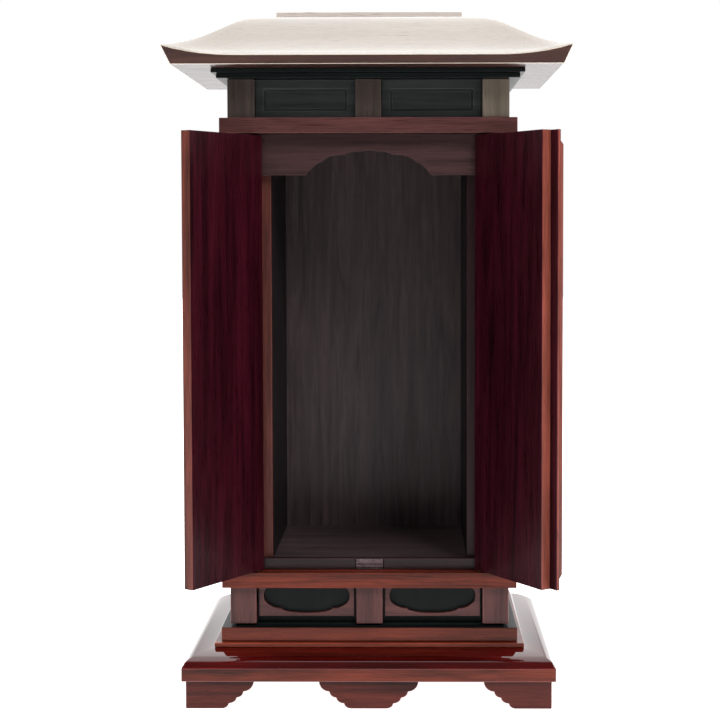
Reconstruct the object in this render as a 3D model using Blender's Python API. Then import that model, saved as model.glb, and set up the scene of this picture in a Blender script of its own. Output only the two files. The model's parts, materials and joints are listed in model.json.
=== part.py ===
"""Household altar cabinet with a hipped roof and two doors on vertical pivot pins.

Lengths are in metres. X runs to the right, Y from the doors to the back, Z up.
Sizes in front to back direction are counted from the middle of the roof as it is drawn here.
The datum then moves the whole cabinet along Y, so that the box around it, open doors
included, is centred on the origin.
"""
import math

import bmesh
import bpy
from mathutils import Vector

# Body of posts and panels; a board's overhang is the same in front of it and beside it
BODY_HALF_WIDTH = 0.1210
BODY_FRONT = -0.0793
BODY_BACK = 0.1120
GAP = 0.0003

# Feet
FOOT_HEIGHT = 0.0236
FEET_SETBACK = 0.0034
FOOT_BOARD_THICKNESS = 0.0140
CORNER_FOOT_LENGTH = 0.0579
CENTRE_FOOT_HALF_LENGTH = 0.0423
FOOT_LOBE_WIDTHS = (0.0090, 0.0058, 0.0067, 0.0060)
FOOT_LOBE_SHARES = (0.38, 0.22, 0.21, 0.19)
FOOT_LOBE_STEPS = 5

# Plinth board: flat edge, small chamfer, then a cushion
PLINTH_OVERHANG = 0.0381
PLINTH_BACK_OVERHANG = 0.0050
PLINTH_EDGE_HEIGHT = 0.0116
PLINTH_CHAMFER_INSET = 0.0019
PLINTH_CHAMFER_RISE = 0.0028
CUSHION_INSET = 0.0225
CUSHION_RISE = 0.0083
CUSHION_POWER = 1.6
CUSHION_STEPS = 12

# Boards above the plinth; the base board carries a set-back strip under the posts
STEP_BOARD_OVERHANG = 0.0126
STEP_BOARD_THICKNESS = 0.0037
BASE_BOARD_OVERHANG = 0.0071
BASE_BOARD_THICKNESS = 0.0119
BASE_REVEAL_INSET = 0.0040
BASE_REVEAL_HEIGHT = 0.0015
RAIL_OVERHANG = 0.0065
LOWER_RAIL_THICKNESS = 0.0132
MID_RAIL_THICKNESS = 0.0131

# Posts and the panels between them
POST_DEPTH = 0.0206
PANEL_THICKNESS = 0.0060
BACK_PANEL_REBATE = 0.0010
SIDE_PANEL_RECESS = 0.0033

# Lower section with its two pierced panels
LOWER_SECTION_HEIGHT = 0.0323
LOWER_POST_WIDTH = 0.0226
LOWER_CENTRE_HALF_WIDTH = 0.0113
PIERCED_RECESS = 0.0041
PIERCED_THICKNESS = 0.0050
PIERCED_SIDE_SLIT = 0.0022
PIERCED_FOOT_SLIT = 0.0057
BACKING_THICKNESS = 0.0050
PIERCED_EDGE_WIDTH = 0.0038
PIERCED_BOTTOM_RIM = 0.0023
PIERCED_TOP_RIM = 0.0018
PIERCED_SHOULDER_WIDTH = 0.0042
PIERCED_SHOULDER_DROP = 0.0076
PIERCED_END_LOBE_WIDTH = 0.0155
PIERCED_MIDDLE_LOBE_DEPTH = 0.0040
PIERCED_STEPS = 8

# Chamber
CHAMBER_HEIGHT = 0.3787
CHAMBER_POST_WIDTH = 0.0185
FLOOR_THICKNESS = 0.0061
JAMB_WIDTH = 0.0170
JAMB_THICKNESS = 0.0080
WALL_THICKNESS = 0.0080
SILL_HEIGHT = 0.0097
SILL_THICKNESS = 0.0079
CATCH_HALF_WIDTH = 0.0119
CATCH_DEPTH = 0.0040
CATCH_PROUD = 0.0008
CATCH_GROOVE = 0.0006
CATCH_GROOVE_SHARES = (0.14, 0.46)
VALANCE_HEIGHT = 0.0354
ARCH_HALF_WIDTH = 0.0540
ARCH_LOBE_WIDTHS = (0.0130, 0.0200, 0.0140, 0.0070)
ARCH_LOBE_RISES = (0.0110, 0.0066, 0.0028, 0.0013)
ARCH_LOBE_POWERS = (1.7, 3.1, 3.5, 2.0)
ARCH_LOBE_STEPS = 8

# Doors, pivots and the cover strip
LEAF_THICKNESS = 0.0088
HINGE_EDGE_CLEARANCE = 0.0021
PIVOT_BEHIND_POST_FRONT = 0.0013
LEAF_BACK_CLEARANCE = 0.0012
LEAF_FOOT_CLEARANCE = 0.0019
LEAF_HEAD_CLEARANCE = 0.0019
LEFT_LEAF_SHORT_OF_CENTRE = 0.0005
RIGHT_LEAF_SHORT_OF_CENTRE = 0.0016
LEFT_OPEN_DEGREES = 121.6
RIGHT_OPEN_DEGREES = 122.2
HINGE_EDGE_STEPS = 12
PIN_RADIUS = 0.0015
PIN_CLEARANCE = 0.0003
PIN_DEPTH_IN_RAIL = 0.0060
PIN_DEPTH_IN_LEAF = 0.0080
PIN_SEGMENTS = 16
COVER_STRIP_THICKNESS = 0.0029
COVER_STRIP_ON_LEAF = 0.0095
COVER_STRIP_PAST_CENTRE = 0.0070
COVER_RIB_HEIGHT = 0.0037
COVER_RIB_WIDTH = 0.0095
COVER_RIB_MARGIN = 0.0010
COVER_RIB_TOP_MARGIN = 0.0080
COVER_RIB_BOTTOM_MARGIN = 0.0083
COVER_RIB_RAMP = 0.0040

# Frieze
FRIEZE_HEIGHT = 0.0329
FRIEZE_POST_WIDTH = 0.0234
FRIEZE_CENTRE_HALF_WIDTH = 0.0110
FRIEZE_RECESS = 0.0060
FRIEZE_THICKNESS = 0.0080
FRIEZE_FIELD_SIDE_MARGIN = 0.0071
FRIEZE_FIELD_BOTTOM_MARGIN = 0.0061
FRIEZE_FIELD_TOP_MARGIN = 0.0080
FRIEZE_FIELD_DEPTH = 0.0030
FRIEZE_FIELD_BEVEL = 0.0020

# Cornice, roof and ridge; the setbacks are the same on all four sides
CORNICE_LOWER_OVERHANG = 0.0085
CORNICE_LOWER_THICKNESS = 0.0041
CORNICE_UPPER_OVERHANG = 0.0126
CORNICE_UPPER_THICKNESS = 0.0035
ROOF_OVERHANG = 0.0428
ROOF_BACK_OVERHANG = 0.0101
ROOF_TOP_SETBACK = 0.0668
ROOF_HEIGHT = 0.0475
FASCIA_HEIGHT = 0.0077
FASCIA_SLOPE = 0.453
EAVE_LIFT = 0.0081
EAVE_LIFT_LENGTH = 0.0656
EAVE_LIFT_POWER = 2.4
ROOF_EVEN_SLOPE_SHARE = 0.38
ROOF_CURVE_POWER = 1.25
ROOF_RINGS = 14
EAVE_STEPS = 6
RIDGE_SETBACK = 0.0150
RIDGE_THICKNESS = 0.0062

# Places that follow from the sizes above
PLINTH_FRONT = BODY_FRONT - PLINTH_OVERHANG
PLINTH_BACK = BODY_BACK + PLINTH_BACK_OVERHANG
FEET_HALF_WIDTH = BODY_HALF_WIDTH + PLINTH_OVERHANG - FEET_SETBACK
FEET_FRONT = PLINTH_FRONT + FEET_SETBACK
FEET_BACK = PLINTH_BACK - FEET_SETBACK
PLINTH_BOTTOM = FOOT_HEIGHT + GAP
PLINTH_HEIGHT = PLINTH_EDGE_HEIGHT + PLINTH_CHAMFER_RISE + CUSHION_RISE
STEP_BOTTOM = PLINTH_BOTTOM + PLINTH_HEIGHT + GAP
BASE_BOTTOM = STEP_BOTTOM + STEP_BOARD_THICKNESS + GAP
LOWER_BOTTOM = BASE_BOTTOM + BASE_BOARD_THICKNESS + BASE_REVEAL_HEIGHT + GAP
LOWER_TOP = LOWER_BOTTOM + LOWER_SECTION_HEIGHT
LOWER_RAIL_BOTTOM = LOWER_TOP + GAP
LOWER_RAIL_TOP = LOWER_RAIL_BOTTOM + LOWER_RAIL_THICKNESS
CHAMBER_BOTTOM = LOWER_RAIL_TOP + GAP
CHAMBER_TOP = CHAMBER_BOTTOM + CHAMBER_HEIGHT
MID_RAIL_BOTTOM = CHAMBER_TOP + GAP
MID_RAIL_TOP = MID_RAIL_BOTTOM + MID_RAIL_THICKNESS
FRIEZE_BOTTOM = MID_RAIL_TOP + GAP
FRIEZE_TOP = FRIEZE_BOTTOM + FRIEZE_HEIGHT
CORNICE_LOWER_BOTTOM = FRIEZE_TOP + GAP
CORNICE_UPPER_BOTTOM = CORNICE_LOWER_BOTTOM + CORNICE_LOWER_THICKNESS + GAP
ROOF_BOTTOM = CORNICE_UPPER_BOTTOM + CORNICE_UPPER_THICKNESS + GAP
ROOF_TOP = ROOF_BOTTOM + ROOF_HEIGHT
RIDGE_BOTTOM = ROOF_TOP + GAP

POST_BACK_FACE = BODY_FRONT + POST_DEPTH
BACK_POST_FRONT = BODY_BACK - POST_DEPTH
BACK_PANEL_BACK = BODY_BACK - BACK_PANEL_REBATE
BACK_PANEL_FRONT = BACK_PANEL_BACK - PANEL_THICKNESS
CHAMBER_POST_INNER = BODY_HALF_WIDTH - CHAMBER_POST_WIDTH
LEAF_HALF = LEAF_THICKNESS / 2
PIVOT_X = CHAMBER_POST_INNER - HINGE_EDGE_CLEARANCE - LEAF_HALF
PIVOT_Y = BODY_FRONT + PIVOT_BEHIND_POST_FRONT
SILL_FRONT = PIVOT_Y + LEAF_HALF + LEAF_BACK_CLEARANCE
SILL_BACK = SILL_FRONT + SILL_THICKNESS
JAMB_FRONT = SILL_BACK + GAP
JAMB_OUTER = CHAMBER_POST_INNER - GAP
JAMB_INNER = JAMB_OUTER - JAMB_WIDTH
FLOOR_TOP = CHAMBER_BOTTOM + FLOOR_THICKNESS
LEAF_BOTTOM = LOWER_RAIL_TOP + LEAF_FOOT_CLEARANCE
LEAF_TOP = MID_RAIL_BOTTOM - LEAF_HEAD_CLEARANCE
LEAF_HEIGHT = LEAF_TOP - LEAF_BOTTOM
LEFT_LEAF_WIDTH = PIVOT_X - LEFT_LEAF_SHORT_OF_CENTRE
RIGHT_LEAF_WIDTH = PIVOT_X - RIGHT_LEAF_SHORT_OF_CENTRE
COVER_STRIP_START = RIGHT_LEAF_WIDTH - COVER_STRIP_ON_LEAF
COVER_STRIP_END = PIVOT_X + COVER_STRIP_PAST_CENTRE
COVER_OUTERMOST = -LEAF_HALF - GAP - COVER_STRIP_THICKNESS - COVER_RIB_HEIGHT
EAVE_TIP = FASCIA_SLOPE * (FASCIA_HEIGHT + EAVE_LIFT)
ROOF_FRONT = BODY_FRONT - ROOF_OVERHANG
ROOF_BACK = BODY_BACK + ROOF_BACK_OVERHANG
ROOF_MIDDLE = (ROOF_FRONT + ROOF_BACK) / 2
ROOF_HALF_WIDTH = BODY_HALF_WIDTH + ROOF_OVERHANG
ROOF_HALF_DEPTH = (ROOF_BACK - ROOF_FRONT) / 2


def make_material(name, colour, roughness, metallic=0.0):
    """Plain surface with the colour that the photograph shows."""
    material = bpy.data.materials.new(name)
    material.use_nodes = True
    shader = material.node_tree.nodes["Principled BSDF"]
    shader.inputs["Base Color"].default_value = (*colour, 1.0)
    shader.inputs["Roughness"].default_value = roughness
    shader.inputs["Metallic"].default_value = metallic
    return material


def add_object(name, bm, location, material, parent, smooth_angle=None):
    """Turn the bmesh into a named object under its parent."""
    bmesh.ops.recalc_face_normals(bm, faces=bm.faces[:])
    mesh = bpy.data.meshes.new(name)
    bm.to_mesh(mesh)
    bm.free()
    if smooth_angle is not None:
        mesh.shade_smooth()
        mesh.set_sharp_from_angle(angle=smooth_angle)
    own_material = material.copy()
    own_material.name = name
    mesh.materials.append(own_material)
    result = bpy.data.objects.new(name, mesh)
    bpy.context.scene.collection.objects.link(result)
    result.location = location
    result.parent = parent
    return result


def add_box(name, x_range, y_range, z_range, material, parent):
    """Square-edged board or post between the given faces."""
    low = Vector((x_range[0], y_range[0], z_range[0]))
    high = Vector((x_range[1], y_range[1], z_range[1]))
    bm = bmesh.new()
    bmesh.ops.create_cube(bm, size=1.0)
    bmesh.ops.scale(bm, vec=high - low, verts=bm.verts[:])
    return add_object(name, bm, (low + high) / 2, material, parent)


def fill_and_extrude(loops, sweep):
    """Solid with the flat outline that the loops give, first one outer and the rest holes."""
    bm = bmesh.new()
    for loop in loops:
        corners = [bm.verts.new(point) for point in loop]
        for start, end in zip(corners, corners[1:] + corners[:1]):
            bm.edges.new((start, end))
    bmesh.ops.triangle_fill(bm, edges=bm.edges[:], use_beauty=True)
    swept = bmesh.ops.extrude_face_region(bm, geom=bm.faces[:])
    moved = [item for item in swept["geom"] if isinstance(item, bmesh.types.BMVert)]
    bmesh.ops.translate(bm, verts=moved, vec=sweep)
    return bm


def loft(rings):
    """Solid through rings with the same number of points, closed by the first and last ring."""
    bm = bmesh.new()
    rows = [[bm.verts.new(point) for point in ring] for ring in rings]
    count = len(rows[0])
    for lower, upper in zip(rows, rows[1:]):
        for index in range(count):
            following = (index + 1) % count
            bm.faces.new((lower[index], lower[following], upper[following], upper[index]))
    bm.faces.new(rows[0][::-1])
    bm.faces.new(rows[-1])
    return bm


def quarter_arc(start, end, steps):
    """Points after start on a quarter ellipse that leaves start along the second coordinate."""
    points = []
    for step in range(1, steps + 1):
        angle = math.pi / 2 * step / steps
        along = start[0] + (end[0] - start[0]) * (1 - math.cos(angle))
        across = start[1] + (end[1] - start[1]) * math.sin(angle)
        points.append((along, across))
    return points


def flattening_curve(start, end, power, steps):
    """Points after start on a curve that is steepest at start and runs level into end."""
    points = []
    for step in range(1, steps + 1):
        share = step / steps
        along = start[0] + (end[0] - start[0]) * share
        across = start[1] + (end[1] - start[1]) * (1 - (1 - share) ** power)
        points.append((along, across))
    return points


def foot_edge(top_length):
    """Lobed edge of a foot from its top corner down, as length along the board and height."""
    points = [(top_length, FOOT_HEIGHT)]
    length = top_length
    height = FOOT_HEIGHT
    for width, share in zip(FOOT_LOBE_WIDTHS, FOOT_LOBE_SHARES):
        target = (length - width, height - share * FOOT_HEIGHT)
        points += quarter_arc((length, height), target, FOOT_LOBE_STEPS)
        length, height = target
    points[-1] = (length, 0.0)
    return points


def add_corner_foot(name, side, end, material, parent):
    """Bracket foot: one board along the front or back and one along the side, joined."""
    outline = [(0.0, FOOT_HEIGHT)] + foot_edge(CORNER_FOOT_LENGTH) + [(0.0, 0.0)]
    corner = Vector((side * FEET_HALF_WIDTH, FEET_FRONT if end < 0 else FEET_BACK, 0.0))
    along_front = [(-side * length, 0.0, height) for length, height in outline]
    along_side = [(0.0, -end * length, height) for length, height in outline]
    thickness_back = Vector((0.0, -end * FOOT_BOARD_THICKNESS, 0.0))
    thickness_side = Vector((-side * FOOT_BOARD_THICKNESS, 0.0, 0.0))
    foot = add_object(
        name, fill_and_extrude([along_front], thickness_back), corner, material, parent
    )
    arm = add_object(
        name + "_arm", fill_and_extrude([along_side], thickness_side), corner, material, parent
    )
    arm.hide_render = True
    arm.display_type = "WIRE"
    union = foot.modifiers.new("join_side_board", "BOOLEAN")
    union.operation = "UNION"
    union.object = arm
    return foot


def add_feet(wood, parent):
    """Four corner feet and one foot under the middle of the front."""
    for end, end_name in ((-1, "front"), (1, "back")):
        for side, side_name in ((-1, "left"), (1, "right")):
            add_corner_foot(f"foot_{end_name}_{side_name}", side, end, wood, parent)
    right_half = foot_edge(CENTRE_FOOT_HALF_LENGTH)
    left_half = [(-length, height) for length, height in reversed(right_half)]
    outline = [(length, 0.0, height) for length, height in right_half + left_half]
    sweep = Vector((0.0, FOOT_BOARD_THICKNESS, 0.0))
    place = (0.0, FEET_FRONT, 0.0)
    add_object("foot_front_centre", fill_and_extrude([outline], sweep), place, wood, parent)


def add_moulded_board(name, overhang, back, bottom, steps, material, parent):
    """Board whose front and sides follow steps of inset and height, with a flat back."""
    rings = []
    for inset, height in steps:
        half = BODY_HALF_WIDTH + overhang - inset
        front = BODY_FRONT - overhang + inset
        ring = [(-half, front), (half, front), (half, back), (-half, back)]
        rings.append([(x, y, height) for x, y in ring])
    add_object(name, loft(rings), (0.0, 0.0, bottom), material, parent)


def add_plinth(wood, parent):
    """Plinth board with its moulding on the front and the sides and a flat back."""
    steps = [(0.0, 0.0), (0.0, PLINTH_EDGE_HEIGHT)]
    steps.append((PLINTH_CHAMFER_INSET, PLINTH_EDGE_HEIGHT + PLINTH_CHAMFER_RISE))
    foot_inset, foot_height = steps[-1]
    for step in range(1, CUSHION_STEPS + 1):
        angle = math.pi / 2 * step / CUSHION_STEPS
        inset = CUSHION_INSET * (1 - math.cos(angle) ** (2 / CUSHION_POWER))
        rise = CUSHION_RISE * math.sin(angle) ** (2 / CUSHION_POWER)
        steps.append((foot_inset + inset, foot_height + rise))
    add_moulded_board(
        "plinth_board", PLINTH_OVERHANG, PLINTH_BACK, PLINTH_BOTTOM, steps, wood, parent
    )


def add_base_board(wood, parent):
    """Board under the posts, which stand on its set-back strip, so a dark line shows there."""
    inset = BASE_BOARD_OVERHANG + BASE_REVEAL_INSET
    strip_top = BASE_BOARD_THICKNESS + BASE_REVEAL_HEIGHT
    steps = [
        (0.0, 0.0),
        (0.0, BASE_BOARD_THICKNESS),
        (inset, BASE_BOARD_THICKNESS),
        (inset, strip_top),
    ]
    add_moulded_board(
        "base_board", BASE_BOARD_OVERHANG, BODY_BACK, BASE_BOTTOM, steps, wood, parent
    )


def add_board(name, overhang, bottom, thickness, material, parent):
    """Level board that overhangs the body on three sides and is flush with it at the back."""
    half = BODY_HALF_WIDTH + overhang
    return add_box(
        name,
        (-half, half),
        (BODY_FRONT - overhang, BODY_BACK),
        (bottom, bottom + thickness),
        material,
        parent,
    )


def add_corner_posts(prefix, width, bottom, height, material, parent):
    """Square posts at the four corners of the body."""
    ends = ((BODY_FRONT, POST_BACK_FACE, "front"), (BACK_POST_FRONT, BODY_BACK, "back"))
    inner = BODY_HALF_WIDTH - width
    for low, high, end_name in ends:
        for side, side_name in ((-1, "left"), (1, "right")):
            x_range = sorted((side * inner, side * BODY_HALF_WIDTH))
            add_box(
                f"{prefix}_{end_name}_{side_name}",
                x_range,
                (low, high),
                (bottom, bottom + height),
                material,
                parent,
            )


def add_plain_walls(prefix, post_width, bottom, height, material, parent):
    """Outer side panels and the back panel between the corner posts."""
    outer = BODY_HALF_WIDTH - SIDE_PANEL_RECESS
    z_range = (bottom, bottom + height)
    for side, side_name in ((-1, "left"), (1, "right")):
        x_range = sorted((side * outer, side * (outer - PANEL_THICKNESS)))
        y_range = (POST_BACK_FACE + GAP, BACK_POST_FRONT - GAP)
        add_box(f"{prefix}_{side_name}", x_range, y_range, z_range, material, parent)
    half = BODY_HALF_WIDTH - post_width - GAP
    y_range = (BACK_PANEL_FRONT, BACK_PANEL_BACK)
    add_box(f"{prefix}_back", (-half, half), y_range, z_range, material, parent)


def pierced_outline(half_width, bottom, top):
    """Cut-out with round shoulders, two end lobes and a shallow middle lobe."""
    shoulder = top - PIERCED_SHOULDER_DROP
    cusp = bottom + PIERCED_MIDDLE_LOBE_DEPTH
    cusp_x = half_width - PIERCED_END_LOBE_WIDTH
    top_x = half_width - PIERCED_SHOULDER_WIDTH
    points = [(half_width, shoulder)]
    points += quarter_arc((half_width, shoulder), (cusp_x, cusp), PIERCED_STEPS)
    points += quarter_arc((cusp_x, cusp), (0.0, bottom), PIERCED_STEPS)
    mirrored = [(-x, z) for x, z in reversed(points[:-1])]
    left_top = quarter_arc((-half_width, shoulder), (-top_x, top), PIERCED_STEPS)
    right_top = [(-x, z) for x, z in reversed(left_top)]
    return points + mirrored + left_top + right_top


def add_lower_section(wood, panel_wood, backing_wood, parent):
    """Posts, pierced front panels with their backing, and plain side and back panels."""
    add_corner_posts(
        "lower_post", LOWER_POST_WIDTH, LOWER_BOTTOM, LOWER_SECTION_HEIGHT, wood, parent
    )
    add_plain_walls(
        "lower_panel", LOWER_POST_WIDTH, LOWER_BOTTOM, LOWER_SECTION_HEIGHT, wood, parent
    )
    panel_front = BODY_FRONT + PIERCED_RECESS
    panel_back = panel_front + PIERCED_THICKNESS
    add_box(
        "lower_post_front_centre",
        (-LOWER_CENTRE_HALF_WIDTH, LOWER_CENTRE_HALF_WIDTH),
        (BODY_FRONT, panel_back),
        (LOWER_BOTTOM, LOWER_TOP),
        wood,
        parent,
    )
    post_inner = BODY_HALF_WIDTH - LOWER_POST_WIDTH
    backing_half = post_inner - GAP
    backing_front = panel_back + GAP
    add_box(
        "lower_backing_board",
        (-backing_half, backing_half),
        (backing_front, backing_front + BACKING_THICKNESS),
        (LOWER_BOTTOM, LOWER_TOP),
        backing_wood,
        parent,
    )
    half = (post_inner - LOWER_CENTRE_HALF_WIDTH) / 2 - PIERCED_SIDE_SLIT
    middle = (post_inner + LOWER_CENTRE_HALF_WIDTH) / 2
    height = LOWER_SECTION_HEIGHT - PIERCED_FOOT_SLIT
    outer = [(-half, 0.0), (half, 0.0), (half, height), (-half, height)]
    hole = pierced_outline(
        half - PIERCED_EDGE_WIDTH, PIERCED_BOTTOM_RIM, height - PIERCED_TOP_RIM
    )
    loops = [[(x, 0.0, z) for x, z in loop] for loop in (outer, hole)]
    for side, side_name in ((-1, "left"), (1, "right")):
        solid = fill_and_extrude(loops, Vector((0.0, PIERCED_THICKNESS, 0.0)))
        place = (side * middle, panel_front, LOWER_BOTTOM + PIERCED_FOOT_SLIT)
        add_object(f"pierced_panel_{side_name}", solid, place, panel_wood, parent)


def add_chamber(wood, inner_wood, parent):
    """Posts, inner walls, jambs, floor and back of the space that the doors close."""
    add_corner_posts(
        "chamber_post", CHAMBER_POST_WIDTH, CHAMBER_BOTTOM, CHAMBER_HEIGHT, wood, parent
    )
    add_plain_walls(
        "outer_panel", CHAMBER_POST_WIDTH, CHAMBER_BOTTOM, CHAMBER_HEIGHT, wood, parent
    )
    inner_back = BACK_PANEL_FRONT - GAP
    add_box(
        "cabinet_floor",
        (-JAMB_OUTER, JAMB_OUTER),
        (JAMB_FRONT, inner_back),
        (CHAMBER_BOTTOM, FLOOR_TOP),
        inner_wood,
        parent,
    )
    z_range = (FLOOR_TOP + GAP, CHAMBER_TOP)
    wall_front = JAMB_FRONT + JAMB_THICKNESS + GAP
    for side, side_name in ((-1, "left"), (1, "right")):
        jamb_x = sorted((side * JAMB_INNER, side * JAMB_OUTER))
        jamb_y = (JAMB_FRONT, JAMB_FRONT + JAMB_THICKNESS)
        add_box(f"door_jamb_{side_name}", jamb_x, jamb_y, z_range, wood, parent)
        wall_x = sorted((side * JAMB_INNER, side * (JAMB_INNER + WALL_THICKNESS)))
        wall_y = (wall_front, inner_back)
        add_box(f"inner_wall_{side_name}", wall_x, wall_y, z_range, inner_wood, parent)


def add_sill_and_catch(wood, catch_wood, parent):
    """Strip that stops the doors at the foot, with a catch block let into its front."""
    notch_half = CATCH_HALF_WIDTH + GAP
    notch_back = SILL_FRONT + CATCH_DEPTH + GAP
    outline = [
        (-JAMB_OUTER, SILL_FRONT),
        (-notch_half, SILL_FRONT),
        (-notch_half, notch_back),
        (notch_half, notch_back),
        (notch_half, SILL_FRONT),
        (JAMB_OUTER, SILL_FRONT),
        (JAMB_OUTER, SILL_BACK),
        (-JAMB_OUTER, SILL_BACK),
    ]
    loop = [(x, y, 0.0) for x, y in outline]
    solid = fill_and_extrude([loop], Vector((0.0, 0.0, SILL_HEIGHT)))
    add_object("door_sill", solid, (0.0, 0.0, CHAMBER_BOTTOM), wood, parent)
    front = SILL_FRONT - CATCH_PROUD
    back = SILL_FRONT + CATCH_DEPTH
    profile = [(front, 0.0)]
    for share in CATCH_GROOVE_SHARES:
        height = share * SILL_HEIGHT
        profile.append((front, height))
        profile.append((front + CATCH_GROOVE, height))
        profile.append((front + CATCH_GROOVE, height + CATCH_GROOVE))
        profile.append((front, height + CATCH_GROOVE))
    profile += [(front, SILL_HEIGHT), (back, SILL_HEIGHT), (back, 0.0)]
    loop = [(-CATCH_HALF_WIDTH, y, z) for y, z in profile]
    solid = fill_and_extrude([loop], Vector((2 * CATCH_HALF_WIDTH, 0.0, 0.0)))
    add_object("door_catch", solid, (0.0, 0.0, CHAMBER_BOTTOM), catch_wood, parent)


def add_valance(wood, parent):
    """Board over the doorway, cut below to a cusped arch."""
    points = [(ARCH_HALF_WIDTH, 0.0)]
    place = points[0]
    for width, rise, power in zip(ARCH_LOBE_WIDTHS, ARCH_LOBE_RISES, ARCH_LOBE_POWERS):
        target = (place[0] - width, place[1] + rise)
        points += flattening_curve(place, target, power, ARCH_LOBE_STEPS)
        place = target
    right_half = [point for point in points if point[0] > GAP]
    left_half = [(-x, z) for x, z in reversed(right_half)]
    peak = [(0.0, sum(ARCH_LOBE_RISES))]
    outline = right_half + peak + left_half
    outline += [(-JAMB_OUTER, 0.0), (-JAMB_OUTER, VALANCE_HEIGHT)]
    outline += [(JAMB_OUTER, VALANCE_HEIGHT), (JAMB_OUTER, 0.0)]
    solid = fill_and_extrude(
        [[(x, 0.0, z) for x, z in outline]], Vector((0.0, SILL_THICKNESS, 0.0))
    )
    place = (0.0, SILL_FRONT, CHAMBER_TOP - VALANCE_HEIGHT)
    add_object("valance", solid, place, wood, parent)


def cut_pivot_holes(target, places, low, high, parent):
    """Cut a round hole around each pivot axis from low to high."""
    bm = bmesh.new()
    for x, y in places:
        new = bmesh.ops.create_cone(
            bm,
            cap_ends=True,
            segments=PIN_SEGMENTS,
            radius1=PIN_RADIUS + PIN_CLEARANCE,
            radius2=PIN_RADIUS + PIN_CLEARANCE,
            depth=high - low,
        )
        bmesh.ops.translate(bm, verts=new["verts"], vec=(x, y, (low + high) / 2))
    cutter = add_object(
        f"{target.name}_hole_{len(target.modifiers)}", bm, (0.0, 0.0, 0.0),
        target.data.materials[0], parent,
    )
    cutter.hide_render = True
    cutter.display_type = "WIRE"
    cut = target.modifiers.new("pivot_hole", "BOOLEAN")
    cut.operation = "DIFFERENCE"
    cut.object = cutter


def add_rails(wood, parent):
    """Boards under and over the doors, with the blind holes that their pins turn in."""
    lower_rail = add_board(
        "lower_rail", RAIL_OVERHANG, LOWER_RAIL_BOTTOM, LOWER_RAIL_THICKNESS, wood, parent
    )
    mid_rail = add_board(
        "mid_rail", RAIL_OVERHANG, MID_RAIL_BOTTOM, MID_RAIL_THICKNESS, wood, parent
    )
    pivots = [(-PIVOT_X, PIVOT_Y), (PIVOT_X, PIVOT_Y)]
    hole_bottom = LOWER_RAIL_TOP - PIN_DEPTH_IN_RAIL - GAP
    hole_top = MID_RAIL_BOTTOM + PIN_DEPTH_IN_RAIL + GAP
    cut_pivot_holes(lower_rail, pivots, hole_bottom, LOWER_RAIL_TOP + GAP, parent)
    cut_pivot_holes(mid_rail, pivots, MID_RAIL_BOTTOM - GAP, hole_top, parent)


def add_leaf(name, side, width, angle, wood, metal, parent):
    """Door leaf with a half-round hinge edge and a pin at each end of it."""
    outline = []
    for step in range(HINGE_EDGE_STEPS + 1):
        turn = math.pi / 2 + math.pi * step / HINGE_EDGE_STEPS
        outline.append((LEAF_HALF * math.cos(turn), LEAF_HALF * math.sin(turn)))
    outline += [(width, -LEAF_HALF), (width, LEAF_HALF)]
    loop = [(-side * along, across, 0.0) for along, across in outline]
    solid = fill_and_extrude([loop], Vector((0.0, 0.0, LEAF_HEIGHT)))
    place = (side * PIVOT_X, PIVOT_Y, LEAF_BOTTOM)
    leaf = add_object(name, solid, place, wood, parent, smooth_angle=math.radians(30))
    leaf.rotation_euler = (0.0, 0.0, side * math.radians(angle))
    hole_depth = PIN_DEPTH_IN_LEAF + GAP
    cut_pivot_holes(leaf, [(0.0, 0.0)], -GAP, hole_depth, leaf)
    cut_pivot_holes(leaf, [(0.0, 0.0)], LEAF_HEIGHT - hole_depth, LEAF_HEIGHT + GAP, leaf)
    foot_low = -LEAF_FOOT_CLEARANCE - PIN_DEPTH_IN_RAIL
    head_high = LEAF_HEIGHT + LEAF_HEAD_CLEARANCE + PIN_DEPTH_IN_RAIL
    spans = (("bottom", foot_low, PIN_DEPTH_IN_LEAF),
             ("top", LEAF_HEIGHT - PIN_DEPTH_IN_LEAF, head_high))
    for end_name, low, high in spans:
        bm = bmesh.new()
        bmesh.ops.create_cone(
            bm,
            cap_ends=True,
            segments=PIN_SEGMENTS,
            radius1=PIN_RADIUS,
            radius2=PIN_RADIUS,
            depth=high - low,
        )
        pin_name = name.replace("door", "pivot_pin") + "_" + end_name
        add_object(pin_name, bm, (0.0, 0.0, (low + high) / 2), metal, leaf, math.radians(40))
    return leaf


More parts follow.
